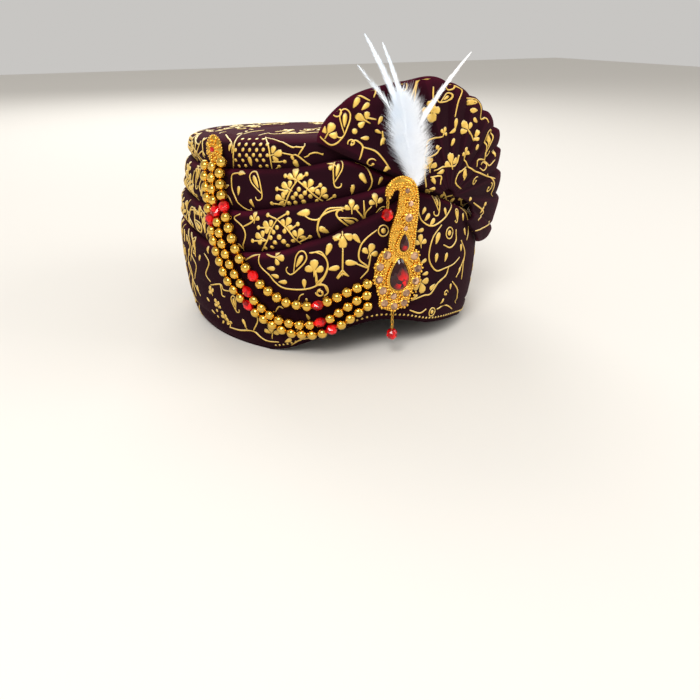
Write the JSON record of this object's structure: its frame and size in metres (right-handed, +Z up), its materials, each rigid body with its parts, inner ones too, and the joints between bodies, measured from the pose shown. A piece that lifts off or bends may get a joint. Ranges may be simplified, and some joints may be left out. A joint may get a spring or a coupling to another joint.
{
  "type": "tied turban",
  "caption": "Ready-tied pagri of wound printed velvet with a pleated cloth fan, a gold hook brooch with a white plume, bead strings and an open head hollow.",
  "frame": {"origin": "middle of the whole turban's bounding box in plan, on the surface that its rim rests on", "axes": "+Z up, -Y towards the forehead, where the hook brooch stands, +X towards the wearer's left; +Y points to the back of the head"},
  "size_m": [0.2298, 0.2646, 0.2092],
  "materials": {
    "velvet": "dark maroon velvet with a pale gold foil print of paisleys, vines and dots",
    "gold": "bright warm gold plate, granulated on the brooch, smooth and shiny on the beads",
    "red_stone": "dark red faceted glass, foiled behind",
    "red_bead": "clear red faceted crystal",
    "feather": "matt white down with fine barbs"
  },
  "bodies": {
    "root": {"crown": "velvet", "upper_wrap": "velvet", "middle_wrap": "velvet", "low_wrap": "velvet", "fan": "velvet", "kalgi_setting": "gold", "kalgi_large_stone": "red_stone", "kalgi_small_stone": "red_stone", "plume": "feather", "hook_drop": "red_bead", "bottom_drop": "red_bead", "bead_string_upper": "gold", "bead_string_middle": "gold", "bead_string_lower": "gold", "side_brooch": "gold"}
  },
  "joints": []
}
